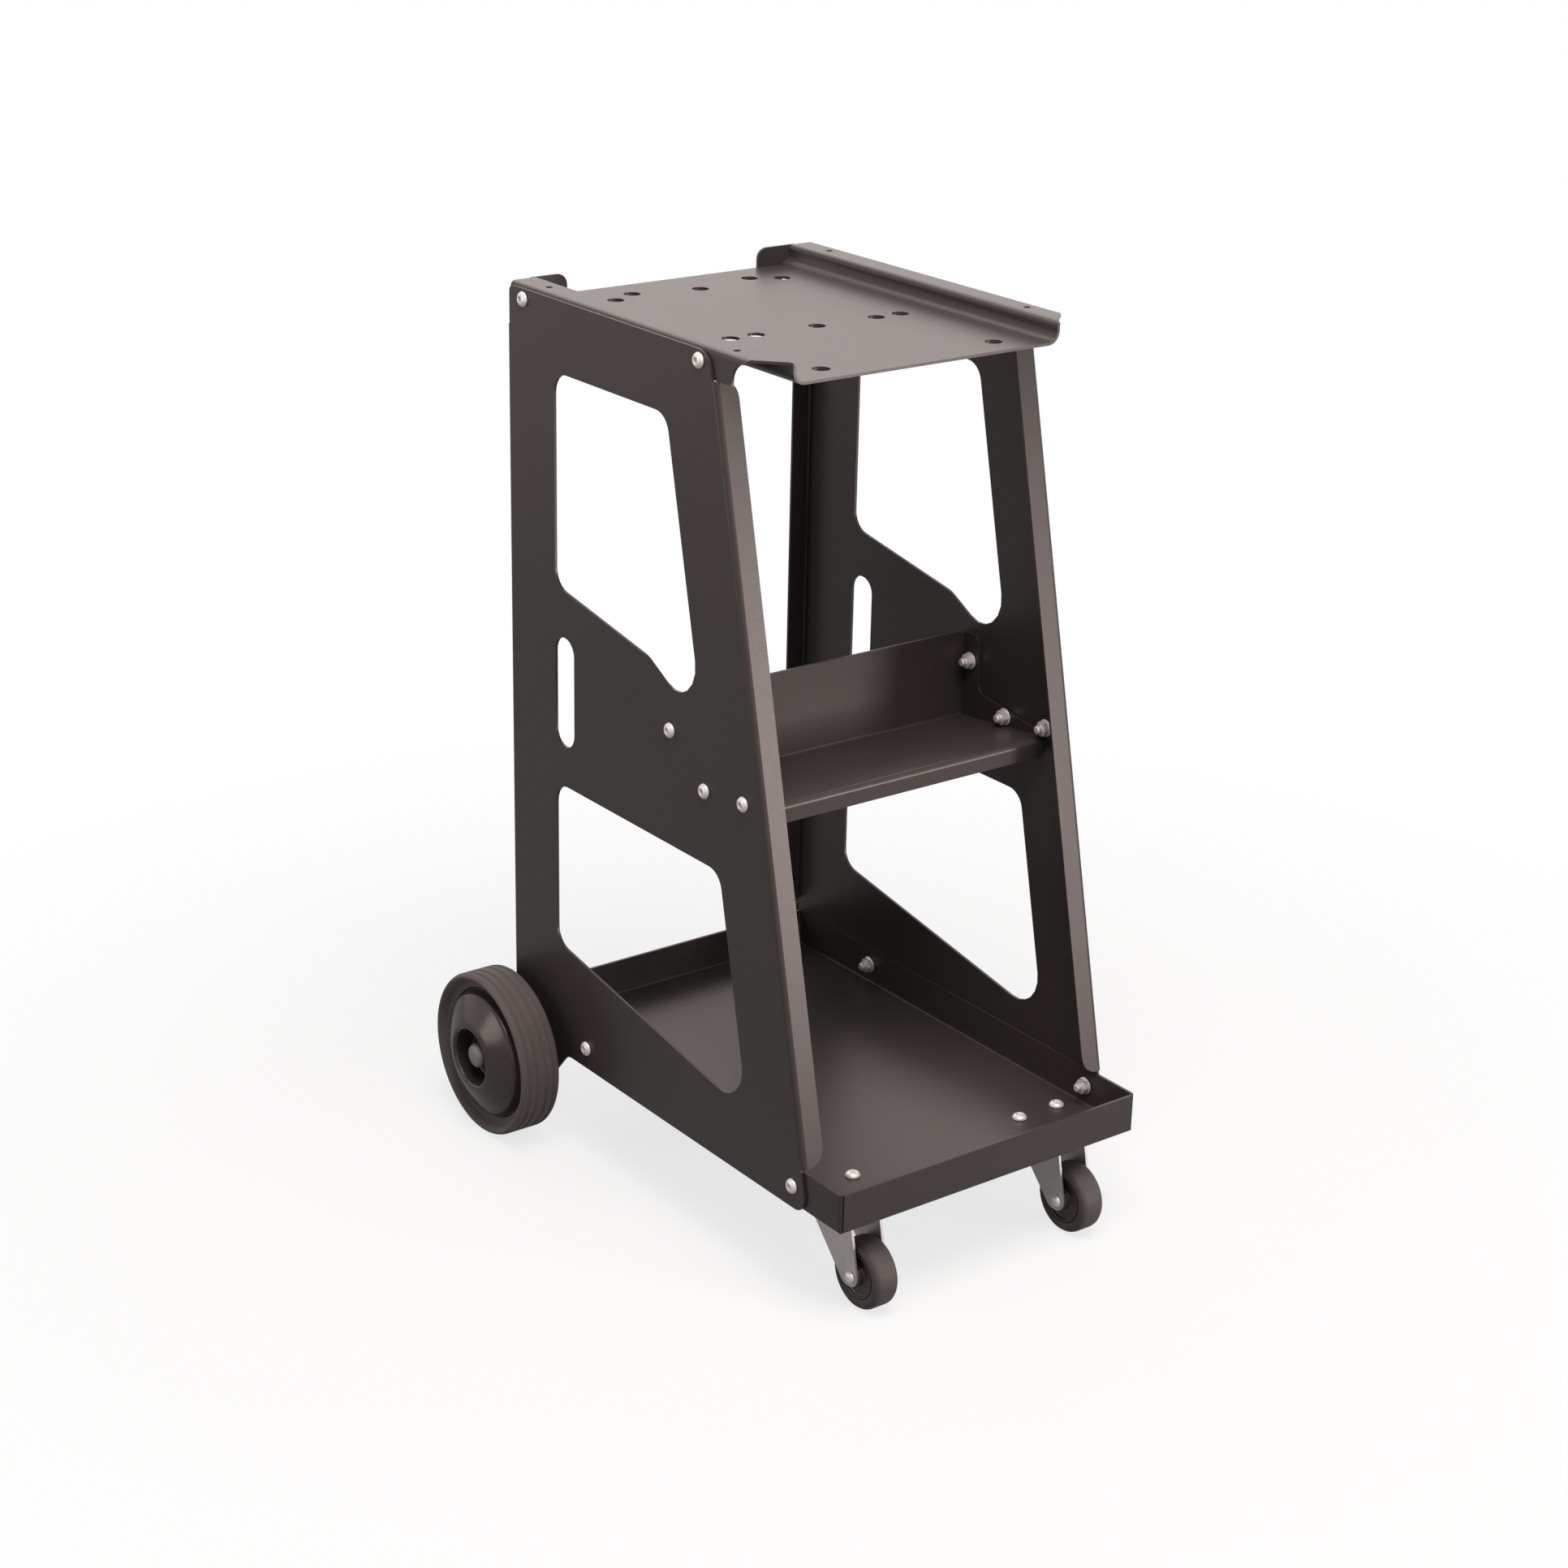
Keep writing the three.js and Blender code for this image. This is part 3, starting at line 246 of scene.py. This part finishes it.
# how every mesh is finished; distances in metres, angles in degrees
meshing = {
    "weld": 1e-6,
    "copyWeld": 2e-6,  # for the solids' loose triangles
    "flatAngle": 0.4,  # below it a solid's triangles are one flat face
    "sharpAngle": 35,  # above it an edge is shaded sharp
    "edgeAngle": 40,  # above it an edge is rounded
    "edgeSteps": 2,
    "cornerSteps": 4,
}


def makePiece(name, bm, node, spec):
    # each piece stands for one solid and moves with it
    bmesh.ops.remove_doubles(bm, verts=bm.verts, dist=meshing["weld"])
    bmesh.ops.recalc_face_normals(bm, faces=bm.faces)
    mesh = bpy.data.meshes.new(name)
    bm.to_mesh(mesh)
    bm.free()
    mesh.materials.append(finish[spec["look"]])
    mesh.shade_smooth()
    mesh.set_sharp_from_angle(angle=math.radians(meshing["sharpAngle"]))
    piece = bpy.data.objects.new(name, mesh)
    bpy.context.scene.collection.objects.link(piece)
    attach(piece, bodyOf[node])
    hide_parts(node)
    return piece


def roundedSolid(name, node, spec):
    # a copy of the solid, welded, with its flat faces made whole again and its edges rounded
    bm = bmesh.new()
    bm.from_mesh(nodes[node].data)
    bmesh.ops.remove_doubles(bm, verts=bm.verts, dist=meshing["copyWeld"])
    flat = math.radians(meshing["flatAngle"])
    bmesh.ops.dissolve_limit(bm, angle_limit=flat, verts=bm.verts, edges=bm.edges)
    edge = makePiece(name, bm, node, spec).modifiers.new("softEdge", "BEVEL")
    edge.width = spec["edgeRound"] * mm
    edge.segments = meshing["edgeSteps"]
    edge.limit_method = "ANGLE"
    edge.angle_limit = math.radians(meshing["edgeAngle"])
    edge.harden_normals = True


def spinProfile(bm, profile, centre, along, steps):
    # rows are radius, station and corner round in mm
    # a profile that starts off the axis closes on itself
    along = Vector(along)
    out = Vector((0, 1, 0)) if along.z else Vector((0, 0, 1))
    verts = []
    for radius, station, corner in profile:
        verts.append(bm.verts.new(Vector(centre) + along * station * mm + out * radius * mm))
    following = verts[1:] + verts[:1] if profile[0][0] else verts[1:]
    for pair in zip(verts, following):
        bm.edges.new(pair)
    for corner in sorted({row[2] for row in profile if row[2]}):
        rounded = [vert for vert, row in zip(verts, profile) if row[2] == corner and vert.is_valid]
        bmesh.ops.bevel(
            bm, geom=rounded, offset=corner * mm, offset_type="OFFSET", segments=meshing["cornerSteps"],
            profile=0.5, affect="VERTICES", clamp_overlap=True, material=-1,
        )
    bmesh.ops.spin(
        bm, geom=bm.verts[:] + bm.edges[:], cent=centre, axis=along, dvec=(0, 0, 0),
        angle=2 * math.pi, steps=steps, use_merge=True, use_duplicate=False,
    )


def spunPiece(name, node, spec, centre, along):
    bm = bmesh.new()
    spinProfile(bm, spec["profile"], centre, along, spec["steps"])
    makePiece(name, bm, node, spec)


# bent sheet steel; rounds here and below are in mm
sheetSteel = {
    "sheets": ("left_side_panel", "right_side_panel", "top_shelf", "middle_shelf", "bottom_tray"),
    "slot": "powder_coat",
    "look": "powderCoat",
    "edgeRound": 0.45,
}
for node in sheetSteel["sheets"]:
    roundedSolid(node + "_sheet", node, sheetSteel)
print("sheet steel done")

# rear wheels and what holds them; stations count outwards from the cart's middle
rearTyre = {
    "node": "wheel_tyre",
    "slot": "rubber",
    "look": "tyreRubber",
    "steps": 96,
    "tread": 62.5,
    "innerSide": [(50.3, 147, 0.6), (53.5, 144.4, 1.0)],
    "innerShoulder": (144, 6.0),  # station and round
    "outerShoulder": (174.2, 1.9),
    "outerSide": [(59.6, 178, 2.4), (54.6, 169.8, 2.2), (50.3, 169.2, 0.6)],  # dished
    "grooves": (149.5, 156, 164, 170.5),
    "groove": [  # offset, depth and round
        (-1.5, 0, 0.25), (-0.5, 1.2, 0.2), (0.5, 1.2, 0.2), (1.5, 0, 0.25),
    ],
}


def tyreProfile():
    tread = rearTyre["tread"]
    rows = rearTyre["innerSide"] + [(tread, *rearTyre["innerShoulder"])]
    for station in rearTyre["grooves"]:
        for offset, depth, corner in rearTyre["groove"]:
            rows.append((tread - depth, station + offset, corner))
    return rows + [(tread, *rearTyre["outerShoulder"])] + rearTyre["outerSide"]


rearTyre["profile"] = tyreProfile()

rearHub = {
    "node": "wheel_hub",
    "slot": "plastic",
    "look": "hubPlastic",
    "steps": 96,
    "profile": [
        (9.1, 144.1, 0.3), (22, 144.1, 1.0), (22, 151, 1.5), (47, 151, 1.5),  # hollow inner side
        (47, 146.6, 0.6), (50, 146.4, 0.5), (50, 169.4, 0.5),  # rim under the tyre
        (49.4, 168.6, 0.5), (48.6, 167.8, 0.8),  # valley beside the tyre
        (46.8, 175.2, 1.8), (27.2, 184.4, 2.6), (23.0, 185.4, 1.4),  # crown
        (21.4, 183.2, 0.8), (21.2, 168.2, 1.2), (9.1, 168, 0.3),  # recess round the axle
    ],
}

axleCap = {
    "node": "axle_cap",
    "slot": "zinc",
    "look": "dullSteel",
    "steps": 96,
    "profile": [
        (0, 180, 0), (6.4, 180, 0.3), (6.4, 168.4, 0.2), (9.6, 168.4, 0.4),
        (9.6, 178.6, 1.0), (8.0, 181.2, 1.0), (4.0, 182.4, 1.5), (0, 182.7, 0),
    ],
}

axleSpacer = {
    "node": "axle_spacer",
    "slot": "zinc",
    "look": "zincBright",
    "steps": 96,
    "profile": [(6.4, 134.4, 0.2), (10, 134.4, 0.5), (10, 143.6, 0.5), (6.4, 143.6, 0.2)],
}

rearAxle = {
    "slot": "zinc",
    "look": "zincBright",
    "steps": 48,
    "profile": [
        (0, -179.3, 0), (5.2, -179.3, 0), (6, -178.5, 0),
        (6, 178.5, 0), (5.2, 179.3, 0), (0, 179.3, 0),
    ],
}

wheelPieces = {"rearTyre": rearTyre, "rearHub": rearHub, "axleCap": axleCap, "axleSpacer": axleSpacer}
axleLine = (0, *pivots["left_wheel_spin"].yz)
for name, side in sides.items():
    for part, spec in wheelPieces.items():
        spunPiece(name + "_" + part, name + "_" + spec["node"], spec, axleLine, (side, 0, 0))
spunPiece("rearAxleRod", "rear_axle", rearAxle, axleLine, (1, 0, 0))
print("rear wheels done")

# casters; a wheel's stations count from its middle, and those of the race and kingpin from the floor
casterTyre = {
    "node": "caster_tyre",
    "slot": "rubber",
    "look": "casterRubber",
    "steps": 72,
    "profile": [
        (17.3, -8.6, 0.4), (19.2, -10, 0.8), (25, -10, 4.6),
        (25, 10, 4.6), (19.2, 10, 0.8), (17.3, 8.6, 0.4),
    ],
}

casterCore = {
    "node": "caster_core",
    "slot": "plastic",
    "look": "hubPlastic",
    "steps": 72,
    "profile": [
        (3.4, -10.8, 0.2), (7, -10.8, 0.6), (7.6, -7.4, 0.8),
        (14.6, -7.2, 1.2), (15.8, -9.2, 0.6), (17, -9.2, 0.4),
        (17, 9.2, 0.4), (15.8, 9.2, 0.6), (14.6, 7.2, 1.2),
        (7.6, 7.4, 0.8), (7, 10.8, 0.6), (3.4, 10.8, 0.2),
    ],
}

casterRivet = {
    "node": "caster_axle",
    "slot": "zinc",
    "look": "zincBright",
    "steps": 72,
    "profile": [
        (0, -17, 0), (2.6, -16.7, 0.8), (4.4, -15.2, 0.8), (4.6, -13.6, 0.3),  # domed head
        (3, -13.6, 0), (3, 13.4, 0), (3, 19, 0.4), (2.4, 19.5, 0.2), (0, 19.5, 0),
    ],
}

casterRace = {
    "node": "caster_race",
    "slot": "zinc",
    "look": "zincFork",
    "steps": 72,
    "profile": [
        (5.4, 65.7, 0.3), (16.2, 65.7, 0.6), (17, 66.6, 0.4), (15.4, 67.6, 0.5),
        (15.4, 68.4, 0.5), (17, 69.2, 0.4), (16.4, 70.1, 0.4), (5.4, 70.1, 0.3),
    ],
}

casterKingpin = {
    "node": "caster_kingpin",
    "slot": "zinc",
    "look": "zincBright",
    "steps": 72,
    "profile": [
        (0, 59.9, 0), (5.2, 59.9, 0.8), (7, 60.8, 0.6), (7, 62.4, 0.3),  # riveted head
        (5, 62.4, 0), (5, 72.9, 0), (0, 72.9, 0),
    ],
}

casterFork = {"node": "caster_fork", "slot": "zinc", "look": "zincFork", "edgeRound": 0.6}
casterPlate = {"node": "caster_plate", "slot": "zinc", "look": "zincFork", "edgeRound": 0.5}
casterNut = {"node": "caster_axle_nut", "slot": "zinc", "look": "zincFork", "edgeRound": 0.4}

rollingPieces = {"casterTyre": casterTyre, "casterCore": casterCore, "casterRivet": casterRivet}
swivelPieces = {"casterRace": casterRace, "casterKingpin": casterKingpin}
pressedPieces = {"casterFork": casterFork, "casterPlate": casterPlate, "casterNut": casterNut}
for name in sides:
    wheelMiddle = pivots[name + "_caster_roll"]
    swivelFoot = (*pivots[name + "_caster_swivel"].xy, 0)
    for part, spec in rollingPieces.items():
        spunPiece(name + "_" + part, name + "_" + spec["node"], spec, wheelMiddle, (1, 0, 0))
    for part, spec in swivelPieces.items():
        spunPiece(name + "_" + part, name + "_" + spec["node"], spec, swivelFoot, (0, 0, 1))
    for part, spec in pressedPieces.items():
        roundedSolid(name + "_" + part, name + "_" + spec["node"], spec)
print("casters done")

# bolts: stations count outwards from the seat under the head, so the nut's are negative
bolt = {
    "slot": "zinc",
    "look": "zincBright",
    "steps": 24,
    "socket": [(0, 1.2, 0), (1.9, 1.3, 0), (1.9, 2.9, 0.2)],
    "head": [(2.8, 3.1, 0.3), (4.4, 2.5, 0.9), (5.4, 0.9, 0.6), (5.45, 0, 0.2), (3, 0, 0)],
    "flange": [  # of the nut, from the end of the grip
        (3, 0, 0), (6.4, 0, 0.2), (6.4, -0.7, 0.3), (5.2, -1.4, 0.3), (3, -1.5, 0),
    ],
    "tip": [(3, 0.8, 0.3), (2.2, 0, 0.3), (0, 0, 0)],  # from the bolt's end
    "headHeight": 3.2,  # of the solid's head
    "nutRadius": 5.6,
    "nutSides": 6,
    "nutRound": 0.35,
}
sideBolt = {"grip": 4.9, "nut": 5.0, "end": 4.0}
plateBolt = {"grip": 5.4, "nut": 3.2, "end": 0.6}


def boltProfile(fit):
    tip = -fit["grip"] - fit["nut"] - fit["end"]
    rows = bolt["socket"] + bolt["head"]
    for start, outline in ((-fit["grip"], bolt["flange"]), (tip, bolt["tip"])):
        rows = rows + [(radius, start + station, corner) for radius, station, corner in outline]
    return rows


def boltPiece(node, seat, along, fit):
    bm = bmesh.new()
    spinProfile(bm, boltProfile(fit), seat, along, bolt["steps"])
    turn = Vector((0, 0, 1)).rotation_difference(Vector(along)).to_matrix().to_4x4()
    nutMiddle = Vector(seat) - Vector(along) * (fit["grip"] + fit["nut"] / 2) * mm
    hexagon = bmesh.ops.create_cone(
        bm, cap_ends=True, cap_tris=False, segments=bolt["nutSides"], radius1=bolt["nutRadius"] * mm,
        radius2=bolt["nutRadius"] * mm, depth=fit["nut"] * mm, matrix=Matrix.Translation(nutMiddle) @ turn,
    )
    edges = list({edge for vert in hexagon["verts"] for edge in vert.link_edges})
    bmesh.ops.bevel(
        bm, geom=edges, offset=bolt["nutRound"] * mm, offset_type="OFFSET", segments=meshing["edgeSteps"],
        profile=0.5, affect="EDGES", clamp_overlap=True, material=-1,
    )
    makePiece(node + "_set", bm, node, bolt)


for node in sorted(name for name in nodes if "_bolt_" in name):
    low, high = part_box(node)
    middle = (low + high) / 2
    if "caster" in node:
        seat = (middle.x, middle.y, high.z - bolt["headHeight"] * mm)
        boltPiece(node, seat, (0, 0, 1), plateBolt)
    else:
        side = sides[node.split("_")[0]]
        outside = high.x if side > 0 else low.x
        seat = (outside - side * bolt["headHeight"] * mm, middle.y, middle.z)
        boltPiece(node, seat, (side, 0, 0), sideBolt)
print("bolts done")

# the wheel bushes stay as solids and get a finish too
bush = {"look": "hubPlastic"}
for node, solid in nodes.items():
    if not solid.hide_render:
        solid.data.materials.clear()
        solid.data.materials.append(finish[bush["look"]])
        print("kept solid", node)

# a pale floor round the cart that fades into the white background; lengths in metres
floorSet = {
    "size": 7,
    "roughness": 0.9,
    "tone": 0.28,  # for the light it throws back
    "seenTone": 0.85,  # for the camera
    "white": 0.76,  # share of plain white under the cart, seen by the camera
    "whiteSpan": (0.3, 1.0),  # where that share grows to all
    "mirrorWhite": 0.2,  # the same share, seen in a mirror
    "fadeSpan": (1.5, 3.2),  # where the floor fades out
}


def floorMaterial():
    material = bpy.data.materials.new("paleFloor")
    material.use_nodes = True
    tree = material.node_tree
    shader = tree.nodes["Principled BSDF"]
    shader.inputs["Roughness"].default_value = floorSet["roughness"]
    place = addNode(tree, "ShaderNodeTexCoord")
    path = addNode(tree, "ShaderNodeLightPath")
    white = addNode(tree, "ShaderNodeEmission")
    clear = addNode(tree, "ShaderNodeBsdfTransparent")
    distance = addNode(tree, "ShaderNodeVectorMath", operation="LENGTH")
    tree.links.new(place.outputs["Object"], distance.inputs[0])
    reach = distance.outputs["Value"]
    toCamera = path.outputs["Is Camera Ray"]
    tone = addMapRange(tree, toCamera, (0, 1), (floorSet["tone"], floorSet["seenTone"]))
    tree.links.new(tone, shader.inputs["Base Color"])
    whiter = addMapRange(tree, reach, floorSet["whiteSpan"], (floorSet["white"], 1), "SMOOTHSTEP")
    straight = addMath(tree, "MULTIPLY", toCamera, whiter)
    mirror = addMath(tree, "MAXIMUM", path.outputs["Is Glossy Ray"], path.outputs["Is Transmission Ray"])
    mirrored = addMath(tree, "MULTIPLY", mirror, floorSet["mirrorWhite"])
    share = addMath(tree, "MAXIMUM", straight, mirrored)
    near = addMixShader(tree, share, shader.outputs[0], white.outputs[0])
    fade = addMapRange(tree, reach, floorSet["fadeSpan"], (1, 0), "SMOOTHSTEP")
    surface = addMixShader(tree, fade, clear.outputs[0], near)
    tree.links.new(surface, tree.nodes["Material Output"].inputs["Surface"])
    return material


def makeFloor():
    bm = bmesh.new()
    bmesh.ops.create_grid(bm, x_segments=1, y_segments=1, size=floorSet["size"] / 2)
    mesh = bpy.data.meshes.new("floor")
    bm.to_mesh(mesh)
    bm.free()
    mesh.materials.append(floorMaterial())
    floor = bpy.data.objects.new("floor", mesh)
    bpy.context.scene.collection.objects.link(floor)


makeFloor()
print("floor laid")

# world: white to the camera and through glass, warm white in mirrors, and a dim cool light otherwise
studioWorld = {
    "light": {"colour": (0.82, 0.97, 1.0, 1), "strength": 0.1},
    "white": {"colour": (1, 1, 1, 1), "strength": 1},
    "warm": {"colour": (1, 0.93, 0.91, 1), "strength": 1},
}


def makeWorld():
    world = bpy.data.worlds.new("studio")
    bpy.context.scene.world = world
    world.use_nodes = True
    tree = world.node_tree
    tree.nodes.remove(tree.nodes["Background"])
    shade = {}
    for name, spec in studioWorld.items():
        background = addNode(tree, "ShaderNodeBackground")
        background.inputs["Color"].default_value = spec["colour"]
        background.inputs["Strength"].default_value = spec["strength"]
        shade[name] = background.outputs[0]
    path = addNode(tree, "ShaderNodeLightPath")
    inMirror = path.outputs["Is Glossy Ray"]
    straight = addMath(tree, "MAXIMUM", path.outputs["Is Camera Ray"], path.outputs["Is Transmission Ray"])
    share = addMath(tree, "MAXIMUM", straight, inMirror)
    seen = addMixShader(tree, inMirror, shade["white"], shade["warm"])
    surface = addMixShader(tree, share, shade["light"], seen)
    tree.links.new(surface, tree.nodes["World Output"].inputs["Surface"])


makeWorld()

lampColour = (1.0, 0.92, 0.89)
lamps = {
    "topLamp": {"place": (-0.35, -0.8, 2.4), "aim": (0, -0.1, 0.3), "size": (1.5, 1.5), "power": 54},
    "frontLamp": {"place": (1.1, -1.85, 0.34), "aim": (0, -0.1, 0.3), "size": (0.5, 0.7), "power": 22.5},
    "fillLamp": {"place": (0.0, -2.4, 1.1), "aim": (0, 0, 0.35), "size": (1.4, 1.2), "power": 6},
    "rearLamp": {"place": (1.5, 2.0, 1.5), "aim": (0, 0, 0.4), "size": (1.8, 1.0), "power": 5},
    "leftLamp": {"place": (-2.14, 0.85, 0.55), "aim": (-0.15, 0.16, 0.1), "size": (0.8, 0.9), "power": 7},
    "backLamp": {"place": (0.1, 1.7, 1.9), "aim": (0, 0, 0.2), "size": (1.2, 1.2), "power": 8},
}
for name, spec in lamps.items():
    data = bpy.data.lights.new(name, "AREA")
    data.shape = "RECTANGLE"
    data.size, data.size_y = spec["size"]
    data.energy = spec["power"]
    data.color = lampColour
    lamp = bpy.data.objects.new(name, data)
    lamp.location = spec["place"]
    towards = Vector(spec["aim"]) - Vector(spec["place"])
    lamp.rotation_euler = towards.to_track_quat("-Z", "Y").to_euler()
    bpy.context.scene.collection.objects.link(lamp)
print("studio set")
